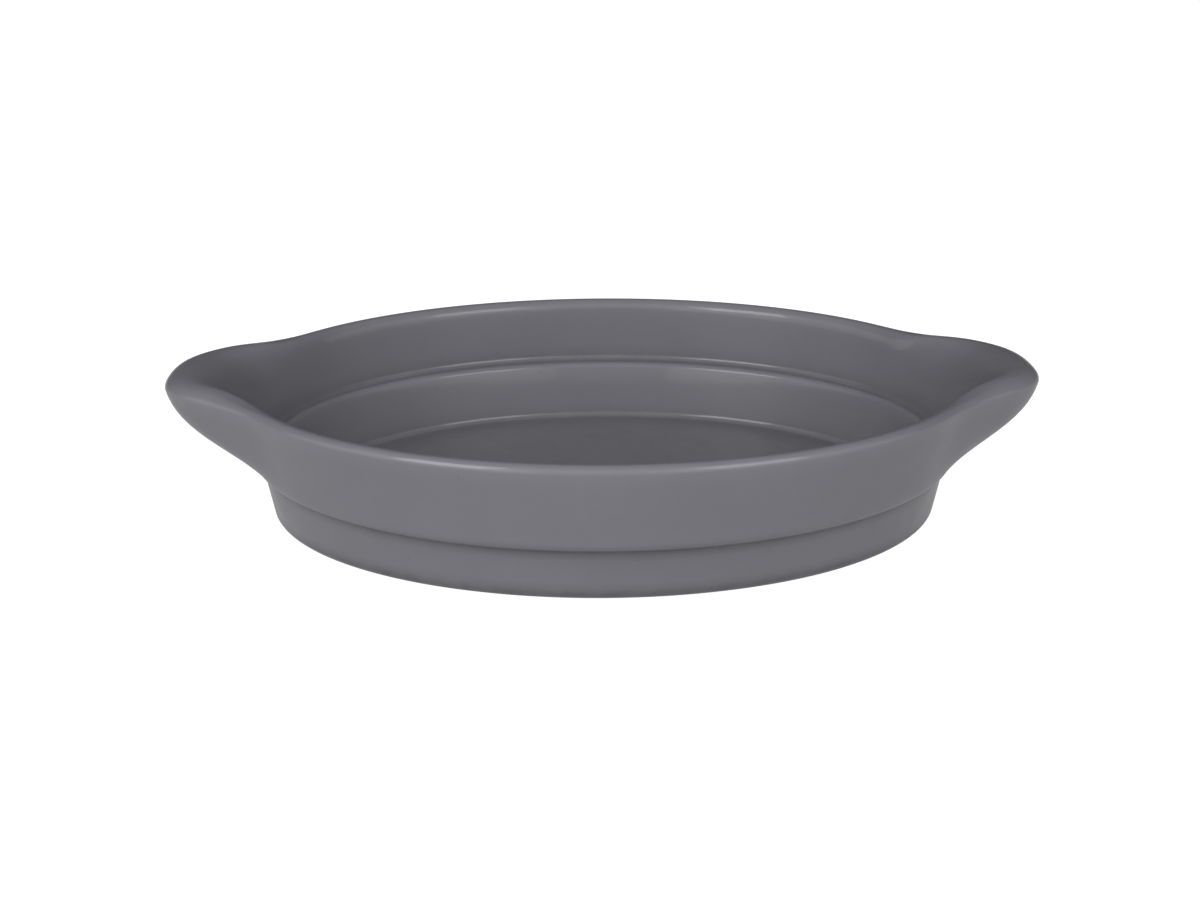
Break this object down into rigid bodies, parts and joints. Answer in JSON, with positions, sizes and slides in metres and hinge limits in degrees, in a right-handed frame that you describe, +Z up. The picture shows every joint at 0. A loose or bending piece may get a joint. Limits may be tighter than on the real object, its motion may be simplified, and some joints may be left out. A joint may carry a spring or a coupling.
{
  "type": "gratin dish",
  "caption": "Oval gratin dish of glazed stoneware with a stepped wall, a rounded rim, an inside ledge and solid ear handles at its ends.",
  "frame": {"origin": "on the table under the middle of the dish, level with the foot ring's standing face", "axes": "+X lengthways through both handles, +Y across the dish, +Z up out of the dish"},
  "size_m": [0.3596, 0.2444, 0.0611],
  "materials": {
    "dark_glaze": "satin-gloss dark warm grey glaze",
    "bare_foot": "bare fired stoneware, dry and fine-grained"
  },
  "bodies": {
    "root": {"base": "dark_glaze", "lower_wall": "dark_glaze", "ledge": "dark_glaze", "upper_wall": "dark_glaze", "rim": "dark_glaze", "left_handle": "dark_glaze", "right_handle": "dark_glaze", "foot_ring": "bare_foot"}
  },
  "joints": []
}
